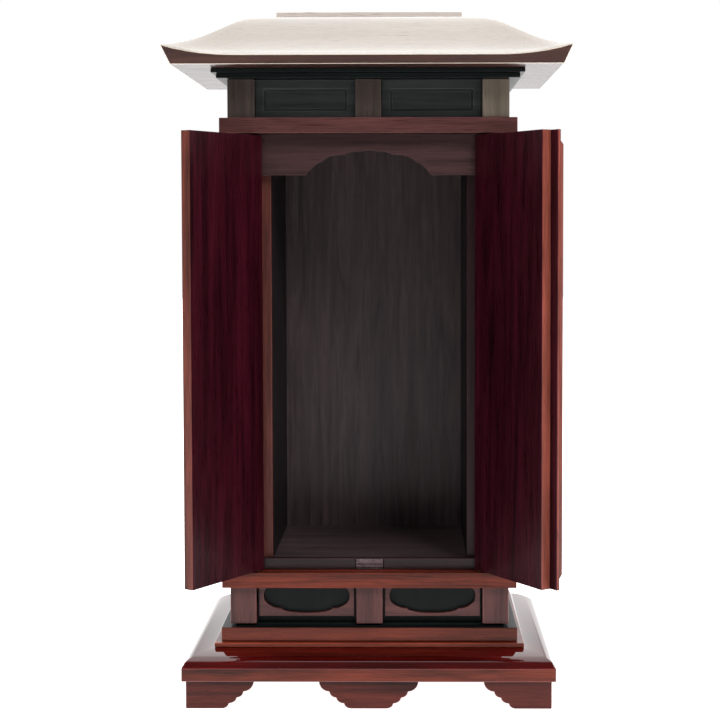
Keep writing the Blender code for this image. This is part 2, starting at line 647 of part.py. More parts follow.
def add_cover_strip(leaf, wood):
    """Strip on the front of the right leaf that laps over the left one, with a raised rib."""
    back = -LEAF_HALF - GAP
    front = back - COVER_STRIP_THICKNESS
    plan = [
        (COVER_STRIP_START, back),
        (COVER_STRIP_END, back),
        (COVER_STRIP_END, front),
        (COVER_STRIP_START, front),
    ]
    loop = [(-along, across, 0.0) for along, across in plan]
    solid = fill_and_extrude([loop], Vector((0.0, 0.0, LEAF_HEIGHT)))
    strip = add_object("astragal", solid, (0.0, 0.0, 0.0), wood, leaf)
    rib_front = front - COVER_RIB_HEIGHT
    rib_low = COVER_RIB_BOTTOM_MARGIN
    rib_high = LEAF_HEIGHT - COVER_RIB_TOP_MARGIN
    rib_back = front + COVER_STRIP_THICKNESS / 2
    side_view = [
        (rib_back, rib_low),
        (front, rib_low),
        (rib_front, rib_low + COVER_RIB_RAMP),
        (rib_front, rib_high - COVER_RIB_RAMP),
        (front, rib_high),
        (rib_back, rib_high),
    ]
    rib_end = COVER_STRIP_END - COVER_RIB_MARGIN
    loop = [(-rib_end, across, height) for across, height in side_view]
    solid = fill_and_extrude([loop], Vector((COVER_RIB_WIDTH, 0.0, 0.0)))
    rib = add_object("astragal_rib", solid, (0.0, 0.0, 0.0), wood, leaf)
    rib.hide_render = True
    rib.display_type = "WIRE"
    union = strip.modifiers.new("join_rib", "BOOLEAN")
    union.operation = "UNION"
    union.object = rib


def add_doors(wood, metal, parent):
    """Both leaves, each turned to the angle at which it stands open."""
    add_leaf("left_door", -1, LEFT_LEAF_WIDTH, LEFT_OPEN_DEGREES, wood, metal, parent)
    right = add_leaf("right_door", 1, RIGHT_LEAF_WIDTH, RIGHT_OPEN_DEGREES, wood, metal, parent)
    add_cover_strip(right, wood)


def sunk_panel(half_width, height, thickness):
    """Panel with a sunk field on its front face, which looks along -Y."""
    field_half = half_width - FRIEZE_FIELD_SIDE_MARGIN
    field_low = FRIEZE_FIELD_BOTTOM_MARGIN
    field_high = height - FRIEZE_FIELD_TOP_MARGIN
    bevel = FRIEZE_FIELD_BEVEL
    rectangles = [
        (half_width, 0.0, height, thickness),
        (half_width, 0.0, height, 0.0),
        (field_half, field_low, field_high, 0.0),
        (field_half - bevel, field_low + bevel, field_high - bevel, FRIEZE_FIELD_DEPTH),
    ]
    rings = []
    for half, low, high, depth in rectangles:
        rings.append(
            [(-half, depth, low), (half, depth, low), (half, depth, high), (-half, depth, high)]
        )
    return loft(rings)


def add_frieze(wood, panel_wood, parent):
    """Band over the doors: posts with sunk panels in front and at the sides."""
    add_corner_posts(
        "frieze_post", FRIEZE_POST_WIDTH, FRIEZE_BOTTOM, FRIEZE_HEIGHT, wood, parent
    )
    panel_front = BODY_FRONT + FRIEZE_RECESS
    panel_back = panel_front + FRIEZE_THICKNESS
    add_box(
        "frieze_post_front_centre",
        (-FRIEZE_CENTRE_HALF_WIDTH, FRIEZE_CENTRE_HALF_WIDTH),
        (BODY_FRONT, panel_back),
        (FRIEZE_BOTTOM, FRIEZE_TOP),
        wood,
        parent,
    )
    post_inner = BODY_HALF_WIDTH - FRIEZE_POST_WIDTH
    front_half = (post_inner - FRIEZE_CENTRE_HALF_WIDTH) / 2 - GAP
    middle = (post_inner + FRIEZE_CENTRE_HALF_WIDTH) / 2
    side_half = (BACK_POST_FRONT - POST_BACK_FACE) / 2 - GAP
    side_middle = (BACK_POST_FRONT + POST_BACK_FACE) / 2
    side_face = BODY_HALF_WIDTH - FRIEZE_RECESS
    for side, side_name in ((-1, "left"), (1, "right")):
        solid = sunk_panel(front_half, FRIEZE_HEIGHT, FRIEZE_THICKNESS)
        place = (side * middle, panel_front, FRIEZE_BOTTOM)
        add_object(f"frieze_panel_front_{side_name}", solid, place, panel_wood, parent)
        solid = sunk_panel(side_half, FRIEZE_HEIGHT, FRIEZE_THICKNESS)
        place = (side * side_face, side_middle, FRIEZE_BOTTOM)
        panel = add_object(f"frieze_panel_{side_name}", solid, place, panel_wood, parent)
        panel.rotation_euler = (0.0, 0.0, side * math.pi / 2)
    back_half = post_inner - GAP
    add_box(
        "frieze_panel_back",
        (-back_half, back_half),
        (BACK_PANEL_FRONT, BACK_PANEL_BACK),
        (FRIEZE_BOTTOM, FRIEZE_TOP),
        wood,
        parent,
    )


def roof_profile(progress):
    """Height share of the roof slope, from the eave at 0 to the flat top at 1."""
    eased = progress**ROOF_CURVE_POWER
    smooth = eased * eased * (3 - 2 * eased)
    return ROOF_EVEN_SLOPE_SHARE * progress + (1 - ROOF_EVEN_SLOPE_SHARE) * smooth


def eave_points(half_length):
    """Places along one side from corner to corner, with the lift of the eave at each."""
    reach = min(EAVE_LIFT_LENGTH, half_length)
    places = []
    for step in range(EAVE_STEPS + 1):
        share = 1 - step / EAVE_STEPS
        lift = EAVE_LIFT * share**EAVE_LIFT_POWER
        places.append((half_length - reach * (1 - share), lift))
    return [(-place, lift) for place, lift in places] + places[:0:-1]


def around_roof(place_point):
    """Ring of points from place_point(length share, lift, sizes of that side), side by side."""
    half_widths = (ROOF_HALF_WIDTH, ROOF_HALF_WIDTH - ROOF_TOP_SETBACK)
    half_depths = (ROOF_HALF_DEPTH, ROOF_HALF_DEPTH - ROOF_TOP_SETBACK)
    front_side = half_widths + half_depths
    right_side = half_depths + half_widths
    ring = []
    for turn, sizes in enumerate((front_side, right_side, front_side, right_side)):
        eave_length = sizes[0] + EAVE_TIP
        for place, lift in eave_points(eave_length):
            point = Vector(place_point(place / eave_length, lift, sizes))
            for _ in range(turn):
                point = Vector((-point.y, point.x, point.z))
            ring.append(point)
    return ring


def underside_ring():
    """Level lower edge of the fascia."""
    return around_roof(lambda share, lift, sizes: (share * sizes[0], -sizes[2], 0.0))


def roof_ring(progress):
    """Line round the roof surface, at one share of the way from the eave to the top."""
    height_share = roof_profile(progress)

    def place_point(share, lift, sizes):
        along_low, along_high, out_low, out_high = sizes
        eave_height = FASCIA_HEIGHT + lift
        eave_out = out_low + FASCIA_SLOPE * eave_height
        along = share * ((along_low + EAVE_TIP) * (1 - progress) + along_high * progress)
        out = eave_out * (1 - progress) + out_high * progress
        height = eave_height + (ROOF_HEIGHT - eave_height) * height_share
        return (along, -out, height)

    return around_roof(place_point)


def add_roof(wood, parent):
    """Hipped roof block with lifted corners and the flat board on its top."""
    rings = [underside_ring()]
    rings += [roof_ring(step / ROOF_RINGS) for step in range(ROOF_RINGS + 1)]
    place = (0.0, ROOF_MIDDLE, ROOF_BOTTOM)
    add_object("roof", loft(rings), place, wood, parent, math.radians(25))
    setback = ROOF_TOP_SETBACK + RIDGE_SETBACK
    add_box(
        "ridge_board",
        (setback - ROOF_HALF_WIDTH, ROOF_HALF_WIDTH - setback),
        (ROOF_FRONT + setback, ROOF_BACK - setback),
        (RIDGE_BOTTOM, RIDGE_BOTTOM + RIDGE_THICKNESS),
        wood,
        parent,
    )


def leaf_front_reach(corners, angle):
    """Smallest Y that an open leaf reaches, given corners as length along and place across."""
    turn = math.radians(angle)
    return min(PIVOT_Y - along * math.sin(turn) + across * math.cos(turn)
               for along, across in corners)


def centring_shift():
    """Distance along Y that brings the middle of the open cabinet's box to the origin."""
    left_corners = [(LEFT_LEAF_WIDTH, LEAF_HALF), (LEFT_LEAF_WIDTH, -LEAF_HALF)]
    right_corners = [(RIGHT_LEAF_WIDTH, LEAF_HALF), (COVER_STRIP_END, -LEAF_HALF - GAP)]
    right_corners.append((COVER_STRIP_END - COVER_RIB_MARGIN, COVER_OUTERMOST))
    left = leaf_front_reach(left_corners, LEFT_OPEN_DEGREES)
    right = leaf_front_reach(right_corners, RIGHT_OPEN_DEGREES)
    return -(min(left, right) + ROOF_BACK + EAVE_TIP) / 2


def build():
    """Make every piece of the cabinet."""
    for existing in list(bpy.data.objects):
        bpy.data.objects.remove(existing)
    datum = bpy.data.objects.new("cabinet_datum", None)
    datum.location = (0.0, centring_shift(), 0.0)
    bpy.context.scene.collection.objects.link(datum)

    wood = make_material("rosewood", (0.135, 0.035, 0.030), 0.30)
    door_wood = make_material("door_rosewood", (0.090, 0.012, 0.016), 0.25)
    roof_wood = make_material("roof_rosewood", (0.150, 0.060, 0.050), 0.32)
    inner_wood = make_material("inner_wood", (0.048, 0.026, 0.026), 0.45)
    panel_wood = make_material("dark_panel_wood", (0.030, 0.026, 0.026), 0.40)
    catch_wood = make_material("catch_metal", (0.110, 0.070, 0.070), 0.35, 0.6)
    metal = make_material("pin_metal", (0.350, 0.300, 0.220), 0.35, 1.0)

    add_feet(wood, datum)
    add_plinth(wood, datum)
    add_board(
        "step_board", STEP_BOARD_OVERHANG, STEP_BOTTOM, STEP_BOARD_THICKNESS, wood, datum
    )
    add_base_board(wood, datum)
    add_lower_section(wood, panel_wood, inner_wood, datum)
    add_rails(wood, datum)
    add_chamber(wood, inner_wood, datum)
    add_sill_and_catch(wood, catch_wood, datum)
    add_valance(wood, datum)
    add_frieze(wood, panel_wood, datum)
    add_board(
        "cornice_lower", CORNICE_LOWER_OVERHANG, CORNICE_LOWER_BOTTOM,
        CORNICE_LOWER_THICKNESS, wood, datum,
    )
    add_board(
        "cornice_upper", CORNICE_UPPER_OVERHANG, CORNICE_UPPER_BOTTOM,
        CORNICE_UPPER_THICKNESS, wood, datum,
    )
    add_roof(roof_wood, datum)
    add_doors(door_wood, metal, datum)


build()
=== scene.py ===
"""Looks of the household altar cabinet: wood finishes, softened edges, camera and light."""
import json
import math

import bmesh
import bpy
from mathutils import Matrix, Vector


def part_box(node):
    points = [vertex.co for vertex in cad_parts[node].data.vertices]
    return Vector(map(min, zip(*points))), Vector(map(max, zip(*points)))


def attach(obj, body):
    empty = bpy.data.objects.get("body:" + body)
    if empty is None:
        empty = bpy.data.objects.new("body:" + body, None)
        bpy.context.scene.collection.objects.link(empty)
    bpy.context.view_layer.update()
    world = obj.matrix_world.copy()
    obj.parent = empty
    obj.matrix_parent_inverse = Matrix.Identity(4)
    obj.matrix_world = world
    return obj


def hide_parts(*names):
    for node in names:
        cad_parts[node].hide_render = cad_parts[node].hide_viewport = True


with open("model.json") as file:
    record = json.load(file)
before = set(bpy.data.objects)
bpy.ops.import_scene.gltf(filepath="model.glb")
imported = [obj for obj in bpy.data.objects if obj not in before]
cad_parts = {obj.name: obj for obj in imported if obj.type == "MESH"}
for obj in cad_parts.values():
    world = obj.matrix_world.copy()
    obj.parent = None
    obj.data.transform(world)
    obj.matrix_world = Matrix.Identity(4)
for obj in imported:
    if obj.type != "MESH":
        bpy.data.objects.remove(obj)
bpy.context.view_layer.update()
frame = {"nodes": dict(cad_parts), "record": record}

# Photograph's frame and the camera that took it, in pixels, metres and degrees
PHOTO_SIDE = 720
FOCAL_PIXELS = 1600.0
PRINCIPAL_X = 393.3
PRINCIPAL_Y = 305.0
SENSOR_WIDTH = 36.0
CAMERA_X = 0.0351
CAMERA_FROM_ROOF_MIDDLE = 1.4566
CAMERA_HEIGHT = 0.4083
CAMERA_PITCH = 2.75
CAMERA_YAW = 0.579
CAMERA_ROLL = -0.099

# Light: surroundings in front and behind with the turn between them, and where the floor's
# own glow starts and is full
WORLD_FRONT = 0.10
WORLD_BEHIND = 2.0
WORLD_TURN = (-0.30, 0.05)
GLOW_START = -0.45
GLOW_FULL = -0.14
FLOOR_RADIUS = 8.0
FLOOR_DROP = 0.0002
FLOOR_TONES = (0.90, 0.93)
LIGHT_TARGET = (0.0, 0.0, 0.3)
LIGHT_SIZE = (1.0, 1.0)
KEY_PLACE = (1.1, -1.5, 1.8)
KEY_POWER = 46.0
FILL_PLACE = (-1.3, -1.4, 1.6)
FILL_POWER = 18.0

# Edges
SOFT_EDGE = 0.0006
FINE_EDGE = 0.0003
FLAT_ANGLE = math.radians(0.5)
EDGE_ANGLE = math.radians(32)
EDGE_SEGMENTS = 2
MERGE_DISTANCE = 0.00001

# Places in a piece's list of materials (the edge one is a lighter copy, a painted highlight),
# and the pieces whose edges keep their faces' material
EDGE_MATERIAL = 1
OTHER_MATERIAL = 2
PLAIN_EDGED = ("base_board",)

# Limits of the faces with another finish: upward slope, start of the base board's top strip of
# painted shade, facing a way
LEVEL_LIMIT = 0.1
PAINTED_SHADE_STRIP_START = 0.8
FACING = 0.7

# Middle tone of each finish in linear RGB, with its gloss, contrast and the size of its figure
FINISHES = {
    "rosewood": {
        "tone": (0.074, 0.027, 0.025), "contrast": 1.30, "figure": 55.0,
        "roughness": 0.30, "specular": 0.18,
        "coat": 0.10, "coat_roughness": 0.10, "coat_ior": 1.5,
    },
    "frieze_rosewood": {
        "tone": (0.050, 0.036, 0.031), "contrast": 1.00, "figure": 60.0,
        "roughness": 0.34, "specular": 0.20,
        "coat": 0.10, "coat_roughness": 0.15, "coat_ior": 1.5,
    },
    # Right front frieze post's front faces: the frieze tone made paler, a painted reflection
    "frieze_post_painted_reflection": {
        "tone": (0.160, 0.130, 0.100), "contrast": 1.00, "figure": 60.0,
        "roughness": 0.34, "specular": 0.20,
        "coat": 0.10, "coat_roughness": 0.15, "coat_ior": 1.5,
    },
    "arch_rosewood": {
        "tone": (0.036, 0.016, 0.016), "contrast": 1.20, "figure": 55.0,
        "roughness": 0.36, "specular": 0.18,
        "coat": 0.10, "coat_roughness": 0.15, "coat_ior": 1.5,
    },
    "base_rosewood": {
        "tone": (0.105, 0.018, 0.009), "contrast": 1.90, "figure": 48.0,
        "roughness": 0.28, "specular": 0.14,
        "coat": 0.10, "coat_roughness": 0.08, "coat_ior": 1.5,
    },
    "foot_rosewood": {
        "tone": (0.055, 0.010, 0.007), "contrast": 2.00, "figure": 42.0,
        "roughness": 0.30, "specular": 0.12,
        "coat": 0.08, "coat_roughness": 0.10, "coat_ior": 1.5,
    },
    "plinth_rosewood": {
        "tone": (0.052, 0.001, 0.001), "contrast": 1.60, "figure": 40.0,
        "roughness": 0.16, "specular": 0.00,
        "coat": 1.00, "coat_roughness": 0.02, "coat_ior": 1.8,
    },
    "door_rosewood": {
        "tone": (0.023, 0.002, 0.005), "contrast": 2.00, "figure": 60.0,
        "roughness": 0.30, "specular": 0.18,
        "coat": 0.14, "coat_roughness": 0.10, "coat_ior": 1.5,
    },
    "door_end_rosewood": {
        "tone": (0.110, 0.026, 0.018), "contrast": 1.80, "figure": 60.0,
        "roughness": 0.34, "specular": 0.18,
        "coat": 0.10, "coat_roughness": 0.15, "coat_ior": 1.5,
    },
    # Ends of the right door and astragal: the door-end tone made lighter by a painted highlight
    "door_end_with_painted_highlight": {
        "tone": (0.175, 0.042, 0.028), "contrast": 1.80, "figure": 60.0,
        "roughness": 0.34, "specular": 0.18,
        "coat": 0.10, "coat_roughness": 0.15, "coat_ior": 1.5,
    },
    # Right jamb: darkened tone, painted shade standing for the right door's shadow
    "jamb_painted_shade": {
        "tone": (0.022, 0.008, 0.009), "contrast": 1.40, "figure": 55.0,
        "roughness": 0.36, "specular": 0.14,
        "coat": 0.06, "coat_roughness": 0.15, "coat_ior": 1.5,
    },
    "fascia_rosewood": {
        "tone": (0.046, 0.018, 0.014), "contrast": 1.30, "figure": 55.0,
        "roughness": 0.30, "specular": 0.16,
        "coat": 0.06, "coat_roughness": 0.10, "coat_ior": 1.5,
    },
    # Roof's upward faces: pale tone that is a painted reflection of the bright surroundings
    # over the wood
    "roof_rosewood": {
        "tone": (0.300, 0.250, 0.200), "contrast": 0.20, "figure": 45.0,
        "roughness": 0.24, "specular": 0.50,
        "coat": 1.00, "coat_roughness": 0.08, "coat_ior": 2.0,
    },
    # Ridge board: pale tone that is a painted reflection of light from above
    "ridge_painted_reflection": {
        "tone": (0.560, 0.500, 0.460), "contrast": 0.20, "figure": 45.0,
        "roughness": 0.30, "specular": 0.40,
        "coat": 0.60, "coat_roughness": 0.10, "coat_ior": 1.5,
    },
    "lit_jamb_rosewood": {
        "tone": (0.085, 0.024, 0.018), "contrast": 1.60, "figure": 55.0,
        "roughness": 0.36, "specular": 0.14,
        "coat": 0.06, "coat_roughness": 0.15, "coat_ior": 1.5,
    },
    "shaded_inner_wood": {
        "tone": (0.010, 0.008, 0.009), "contrast": 1.20, "figure": 90.0,
        "roughness": 0.44, "specular": 0.12,
        "coat": 0.04, "coat_roughness": 0.25, "coat_ior": 1.5,
    },
    "inner_wood": {
        "tone": (0.060, 0.040, 0.043), "contrast": 1.20, "figure": 110.0,
        "roughness": 0.40, "specular": 0.20,
        "coat": 0.08, "coat_roughness": 0.20, "coat_ior": 1.5,
    },
    "sill_wood": {
        "tone": (0.022, 0.010, 0.012), "contrast": 1.20, "figure": 50.0,
        "roughness": 0.36, "specular": 0.20,
        "coat": 0.10, "coat_roughness": 0.15, "coat_ior": 1.5,
    },
    "dark_panel_wood": {
        "tone": (0.028, 0.031, 0.031), "contrast": 1.20, "figure": 70.0,
        "roughness": 0.42, "specular": 0.16,
        "coat": 0.05, "coat_roughness": 0.25, "coat_ior": 1.5,
    },
    # Black wood; on the base board's top faces it stands for painted shade and a painted
    # reflection of the dark body front
    "black_wood_and_painted_shade": {
        "tone": (0.004, 0.006, 0.006), "contrast": 1.20, "figure": 70.0,
        "roughness": 0.42, "specular": 0.12,
        "coat": 0.04, "coat_roughness": 0.25, "coat_ior": 1.5,
    },
}
# Brightness of the edges' copy of each finish: a painted highlight along the arrises
PAINTED_HIGHLIGHT_GAIN = 1.9

# Grain: squeeze along the board, noise scales, weights of figure, bands and fibres, and the
# places and shares of the dark, middle and light tone
BROAD_SQUEEZE = 0.09
NARROW_SQUEEZE = 0.035
BAND_SCALE = 230.0
FIBRE_SCALE = 1100.0
PORE_SCALE = 1900.0
GRAIN_WEIGHTS = (0.50, 0.30, 0.20)
GRAIN_PLACES = (0.36, 0.50, 0.66)
GRAIN_SHARES = (0.62, 1.0, 1.45)
OFFSET_STEPS = (0.731, 1.373, 0.519)
OFFSET_LIMIT = 3.0
NOISE_SPAN = (0.3, 0.7)

# Pores and relief
PORE_START = 0.62
PORE_FULL = 0.70
PORE_STRENGTH = 0.55
PORE_SHARE = 0.25
PORE_DEPTH = 0.8
GLOSS_LOSS = 0.05
GLOSS_SPREAD = 0.12
RELIEF_STRENGTH = 0.25
RELIEF_HEIGHT = 0.00006

# Metals: tones, size of patches and scratches, and the darkest patches' place and share
PIN_TONE = (0.45, 0.38, 0.26)
# Top pins: the same brass darkened, painted shade
PIN_TONE_IN_PAINTED_SHADE = (0.03, 0.022, 0.016)
CATCH_TONE = (0.15, 0.105, 0.115)
PATCH_SCALE = 260.0
PATCH_PLACES = (0.35, 0.65)
PATCH_SHARES = (0.6, 1.0)
SCRATCH_SCALE = 2600.0
SCRATCH_SQUEEZE = 0.05


def new_material(name):
    """Empty node material with its Principled shader."""
    material = bpy.data.materials.new(name)
    material.use_nodes = True
    tree = material.node_tree
    tree.nodes.clear()
    output = tree.nodes.new("ShaderNodeOutputMaterial")
    shader = tree.nodes.new("ShaderNodeBsdfPrincipled")
    tree.links.new(shader.outputs["BSDF"], output.inputs["Surface"])
    return material, tree, shader


def add_noise(tree, vector, scale, detail, distortion=0.0):
    """Noise texture that reads the given coordinates."""
    noise = tree.nodes.new("ShaderNodeTexNoise")
    noise.inputs["Scale"].default_value = scale
    noise.inputs["Detail"].default_value = detail
    noise.inputs["Distortion"].default_value = distortion
    tree.links.new(vector, noise.inputs["Vector"])
    return noise.outputs["Fac"]


def add_mapping(tree, coordinates, grain_axis, along, offset):
    """Coordinates squeezed along the grain, moved so that boards differ."""
    mapping = tree.nodes.new("ShaderNodeMapping")
    scale = [1.0, 1.0, 1.0]
    scale["XYZ".index(grain_axis)] = along
    mapping.inputs["Scale"].default_value = scale
    mapping.inputs["Location"].default_value = offset
    tree.links.new(coordinates, mapping.inputs["Vector"])
    return mapping.outputs["Vector"]


def add_range(tree, value, low, high, to_low, to_high):
    """Value moved from one range to another."""
    node = tree.nodes.new("ShaderNodeMapRange")
    node.inputs["From Min"].default_value = low
    node.inputs["From Max"].default_value = high
    node.inputs["To Min"].default_value = to_low
    node.inputs["To Max"].default_value = to_high
    tree.links.new(value, node.inputs["Value"])
    return node.outputs["Result"]


def add_math(tree, operation, first, second):
    """Sum, difference or product of two values, each a socket or a number."""
    node = tree.nodes.new("ShaderNodeMath")
    node.operation = operation
    for socket, value in zip(node.inputs, (first, second)):
        if isinstance(value, float):
            socket.default_value = value
        else:
            tree.links.new(value, socket)
    return node.outputs["Value"]


def wood_material(name, finish_name, grain_axis, seed, brightness=1.0):
    """Lacquered wood: broad figure, fine fibres and dark pores along one axis."""
    finish = FINISHES[finish_name]
    material, tree, shader = new_material(name)
    coordinates = tree.nodes.new("ShaderNodeTexCoord").outputs["Object"]
    offset = tuple(seed * step % OFFSET_LIMIT for step in OFFSET_STEPS)
    broad = add_mapping(tree, coordinates, grain_axis, BROAD_SQUEEZE, offset)
    narrow = add_mapping(tree, coordinates, grain_axis, NARROW_SQUEEZE, offset)
    figure = add_noise(tree, broad, finish["figure"], 4.0, 1.2)
    bands = add_noise(tree, narrow, BAND_SCALE, 3.0, 0.4)
    fibres = add_noise(tree, narrow, FIBRE_SCALE, 2.0)
    pores = add_noise(tree, narrow, PORE_SCALE, 1.0)

    mixed = add_math(tree, "MULTIPLY", figure, GRAIN_WEIGHTS[0])
    for noise, weight in zip((bands, fibres), GRAIN_WEIGHTS[1:]):
        mixed = add_math(tree, "ADD", mixed, add_math(tree, "MULTIPLY", noise, weight))
    ramp = tree.nodes.new("ShaderNodeValToRGB")
    tree.links.new(mixed, ramp.inputs["Fac"])
    stops = ramp.color_ramp.elements
    stops.new(0.5)
    for stop, place, share in zip(stops, GRAIN_PLACES, GRAIN_SHARES):
        share = max(0.0, 1 + (share - 1) * finish["contrast"])
        stop.position = place
        stop.color = (*(channel * share * brightness for channel in finish["tone"]), 1.0)
    pore_mask = add_range(tree, pores, PORE_START, PORE_FULL, 0.0, PORE_STRENGTH)
    darker = tree.nodes.new("ShaderNodeMix")
    darker.data_type = "RGBA"
    tree.links.new(pore_mask, darker.inputs[0])
    tree.links.new(ramp.outputs["Color"], darker.inputs[6])
    pore_tone = (channel * PORE_SHARE * brightness for channel in finish["tone"])
    darker.inputs[7].default_value = (*pore_tone, 1.0)
    tree.links.new(darker.outputs[2], shader.inputs["Base Color"])

    low = finish["roughness"] - GLOSS_LOSS
    roughness = add_range(tree, fibres, *NOISE_SPAN, low, low + GLOSS_SPREAD)
    tree.links.new(roughness, shader.inputs["Roughness"])
    shader.inputs["Specular IOR Level"].default_value = finish["specular"]
    shader.inputs["Coat Weight"].default_value = finish["coat"]
    shader.inputs["Coat IOR"].default_value = finish["coat_ior"]
    shader.inputs["Coat Roughness"].default_value = finish["coat_roughness"]
    bump = tree.nodes.new("ShaderNodeBump")
    bump.inputs["Strength"].default_value = RELIEF_STRENGTH
    bump.inputs["Distance"].default_value = RELIEF_HEIGHT
    sunk = add_math(tree, "MULTIPLY", pore_mask, PORE_DEPTH)
    relief = add_math(tree, "SUBTRACT", fibres, sunk)
    tree.links.new(relief, bump.inputs["Height"])
    tree.links.new(bump.outputs["Normal"], shader.inputs["Normal"])
    return material


def metal_material(name, colour, roughness):
    """Dull metal with fine scratches and a patchy surface."""
    material, tree, shader = new_material(name)
    coordinates = tree.nodes.new("ShaderNodeTexCoord").outputs["Object"]
    patches = add_noise(tree, coordinates, PATCH_SCALE, 4.0)
    drawn = add_mapping(tree, coordinates, "X", SCRATCH_SQUEEZE, (0, 0, 0))
    scratches = add_noise(tree, drawn, SCRATCH_SCALE, 2.0)
    ramp = tree.nodes.new("ShaderNodeValToRGB")
    tree.links.new(patches, ramp.inputs["Fac"])
    for stop, place, share in zip(ramp.color_ramp.elements, PATCH_PLACES, PATCH_SHARES):
        stop.position = place
        stop.color = (*(channel * share for channel in colour), 1.0)
    tree.links.new(ramp.outputs["Color"], shader.inputs["Base Color"])
    tree.links.new(
        add_range(tree, scratches, *NOISE_SPAN, roughness - 0.08, roughness + 0.1),
        shader.inputs["Roughness"],
    )
    shader.inputs["Metallic"].default_value = 1.0
    return material


def clean_copy(node_name):
    """Mesh of a CAD node with its flat faces whole again, as a bmesh."""
    bm = bmesh.new()
    bm.from_mesh(frame["nodes"][node_name].data)
    bmesh.ops.remove_doubles(bm, verts=bm.verts[:], dist=MERGE_DISTANCE)
    bmesh.ops.dissolve_limit(
        bm, angle_limit=FLAT_ANGLE, verts=bm.verts[:], edges=bm.edges[:]
    )
    bm.normal_update()
    return bm


def body_of(node_name):
    """Body that carries a CAD node."""
    for body, nodes in frame["record"]["behaviour"]["bodies"].items():
        if node_name in nodes:
            return body
    return None


def add_piece(name, bm, node_name, materials, edge):
    """Finished piece that stands for a CAD node, with softened edges."""
    mesh = bpy.data.meshes.new(name)
    bm.to_mesh(mesh)
    bm.free()
    for material in materials:
        mesh.materials.append(material)
    mesh.shade_smooth()
    mesh.set_sharp_from_angle(angle=EDGE_ANGLE)
    piece = bpy.data.objects.new(name, mesh)
    bpy.context.scene.collection.objects.link(piece)
    bevel = piece.modifiers.new("soft_edges", "BEVEL")
    bevel.width = edge
    bevel.segments = EDGE_SEGMENTS
    bevel.limit_method = "ANGLE"
    bevel.angle_limit = EDGE_ANGLE
    bevel.harden_normals = True
    # Bevels take the lighter edge material, a painted highlight
    if len(materials) > 1 and node_name not in PLAIN_EDGED:
        bevel.material = EDGE_MATERIAL
    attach(piece, body_of(node_name))
    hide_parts(node_name)
    return piece


# Finish and grain direction of each piece, by the start of its name
PIECE_FINISHES = (
    ("foot_", "foot_rosewood", "X", SOFT_EDGE),
    ("plinth_board", "plinth_rosewood", "X", SOFT_EDGE),
    ("step_board", "base_rosewood", "X", SOFT_EDGE),
    ("base_board", "base_rosewood", "X", SOFT_EDGE),
    ("lower_post", "rosewood", "Z", SOFT_EDGE),
    ("lower_panel", "rosewood", "Z", FINE_EDGE),
    ("lower_backing", "black_wood_and_painted_shade", "Z", FINE_EDGE),
    ("lower_rail", "base_rosewood", "X", SOFT_EDGE),
    ("pierced_panel", "rosewood", "X", FINE_EDGE),
    ("cabinet_floor", "inner_wood", "X", FINE_EDGE),
    ("door_sill", "sill_wood", "X", SOFT_EDGE),
    ("door_jamb_left", "lit_jamb_rosewood", "Z", FINE_EDGE),
    # Jambs other than the left: darkened finish, painted shade
    ("door_jamb", "jamb_painted_shade", "Z", FINE_EDGE),
    ("inner_wall", "shaded_inner_wood", "Z", FINE_EDGE),
    ("outer_panel_back", "inner_wood", "Z", FINE_EDGE),
    ("outer_panel", "rosewood", "Z", FINE_EDGE),
    ("chamber_post", "rosewood", "Z", SOFT_EDGE),
    ("valance", "arch_rosewood", "X", FINE_EDGE),
    ("mid_rail", "rosewood", "X", SOFT_EDGE),
    ("frieze_post", "frieze_rosewood", "Z", SOFT_EDGE),
    ("frieze_panel_back", "rosewood", "X", FINE_EDGE),
    ("frieze_panel", "dark_panel_wood", "X", FINE_EDGE),
    ("cornice", "black_wood_and_painted_shade", "X", FINE_EDGE),
    ("roof", "roof_rosewood", "X", SOFT_EDGE),
    ("ridge_board", "ridge_painted_reflection", "X", SOFT_EDGE),
    ("left_door", "door_rosewood", "Z", SOFT_EDGE),
    ("right_door", "door_rosewood", "Z", SOFT_EDGE),
    ("astragal", "door_rosewood", "Z", SOFT_EDGE),
)

# Faces with another finish than the rest of their piece, by the way that they look and by
# their lowest corner as a share of the piece's height
OTHER_FACES = {
    # Roof's upward faces keep the pale painted reflection; the faces that don't slope up get
    # the fascia finish
    "roof": (lambda normal, low: normal.z < LEVEL_LIMIT, "fascia_rosewood"),
    "plinth_board": (lambda normal, low: normal.z < LEVEL_LIMIT, "base_rosewood"),
    # Base board's top faces: black, painted shade and painted reflection of the dark body front
    "base_board": (lambda normal, low: low > PAINTED_SHADE_STRIP_START, "black_wood_and_painted_shade"),
    "outer_panel_back": (lambda normal, low: normal.y > FACING, "rosewood"),
    # Front faces of the right front frieze post: painted reflection
    "frieze_post_front_right": (lambda normal, low: normal.y < -FACING, "frieze_post_painted_reflection"),
    "left_door": (lambda normal, low: normal.y < -FACING, "door_end_rosewood"),
    # Right door and astragal ends: door-end tone with a painted highlight
    "right_door": (lambda normal, low: normal.y < -FACING, "door_end_with_painted_highlight"),
    "astragal": (lambda normal, low: normal.y < -FACING, "door_end_with_painted_highlight"),
}


def set_other_faces(bm, belongs):
    """Give the third material to the faces that belong to the other finish."""
    heights = [vertex.co.z for vertex in bm.verts]
    bottom, top = min(heights), max(heights)
    for face in bm.faces:
        lowest = min(vertex.co.z for vertex in face.verts)
        if belongs(face.normal, (lowest - bottom) / (top - bottom)):
            face.material_index = OTHER_MATERIAL


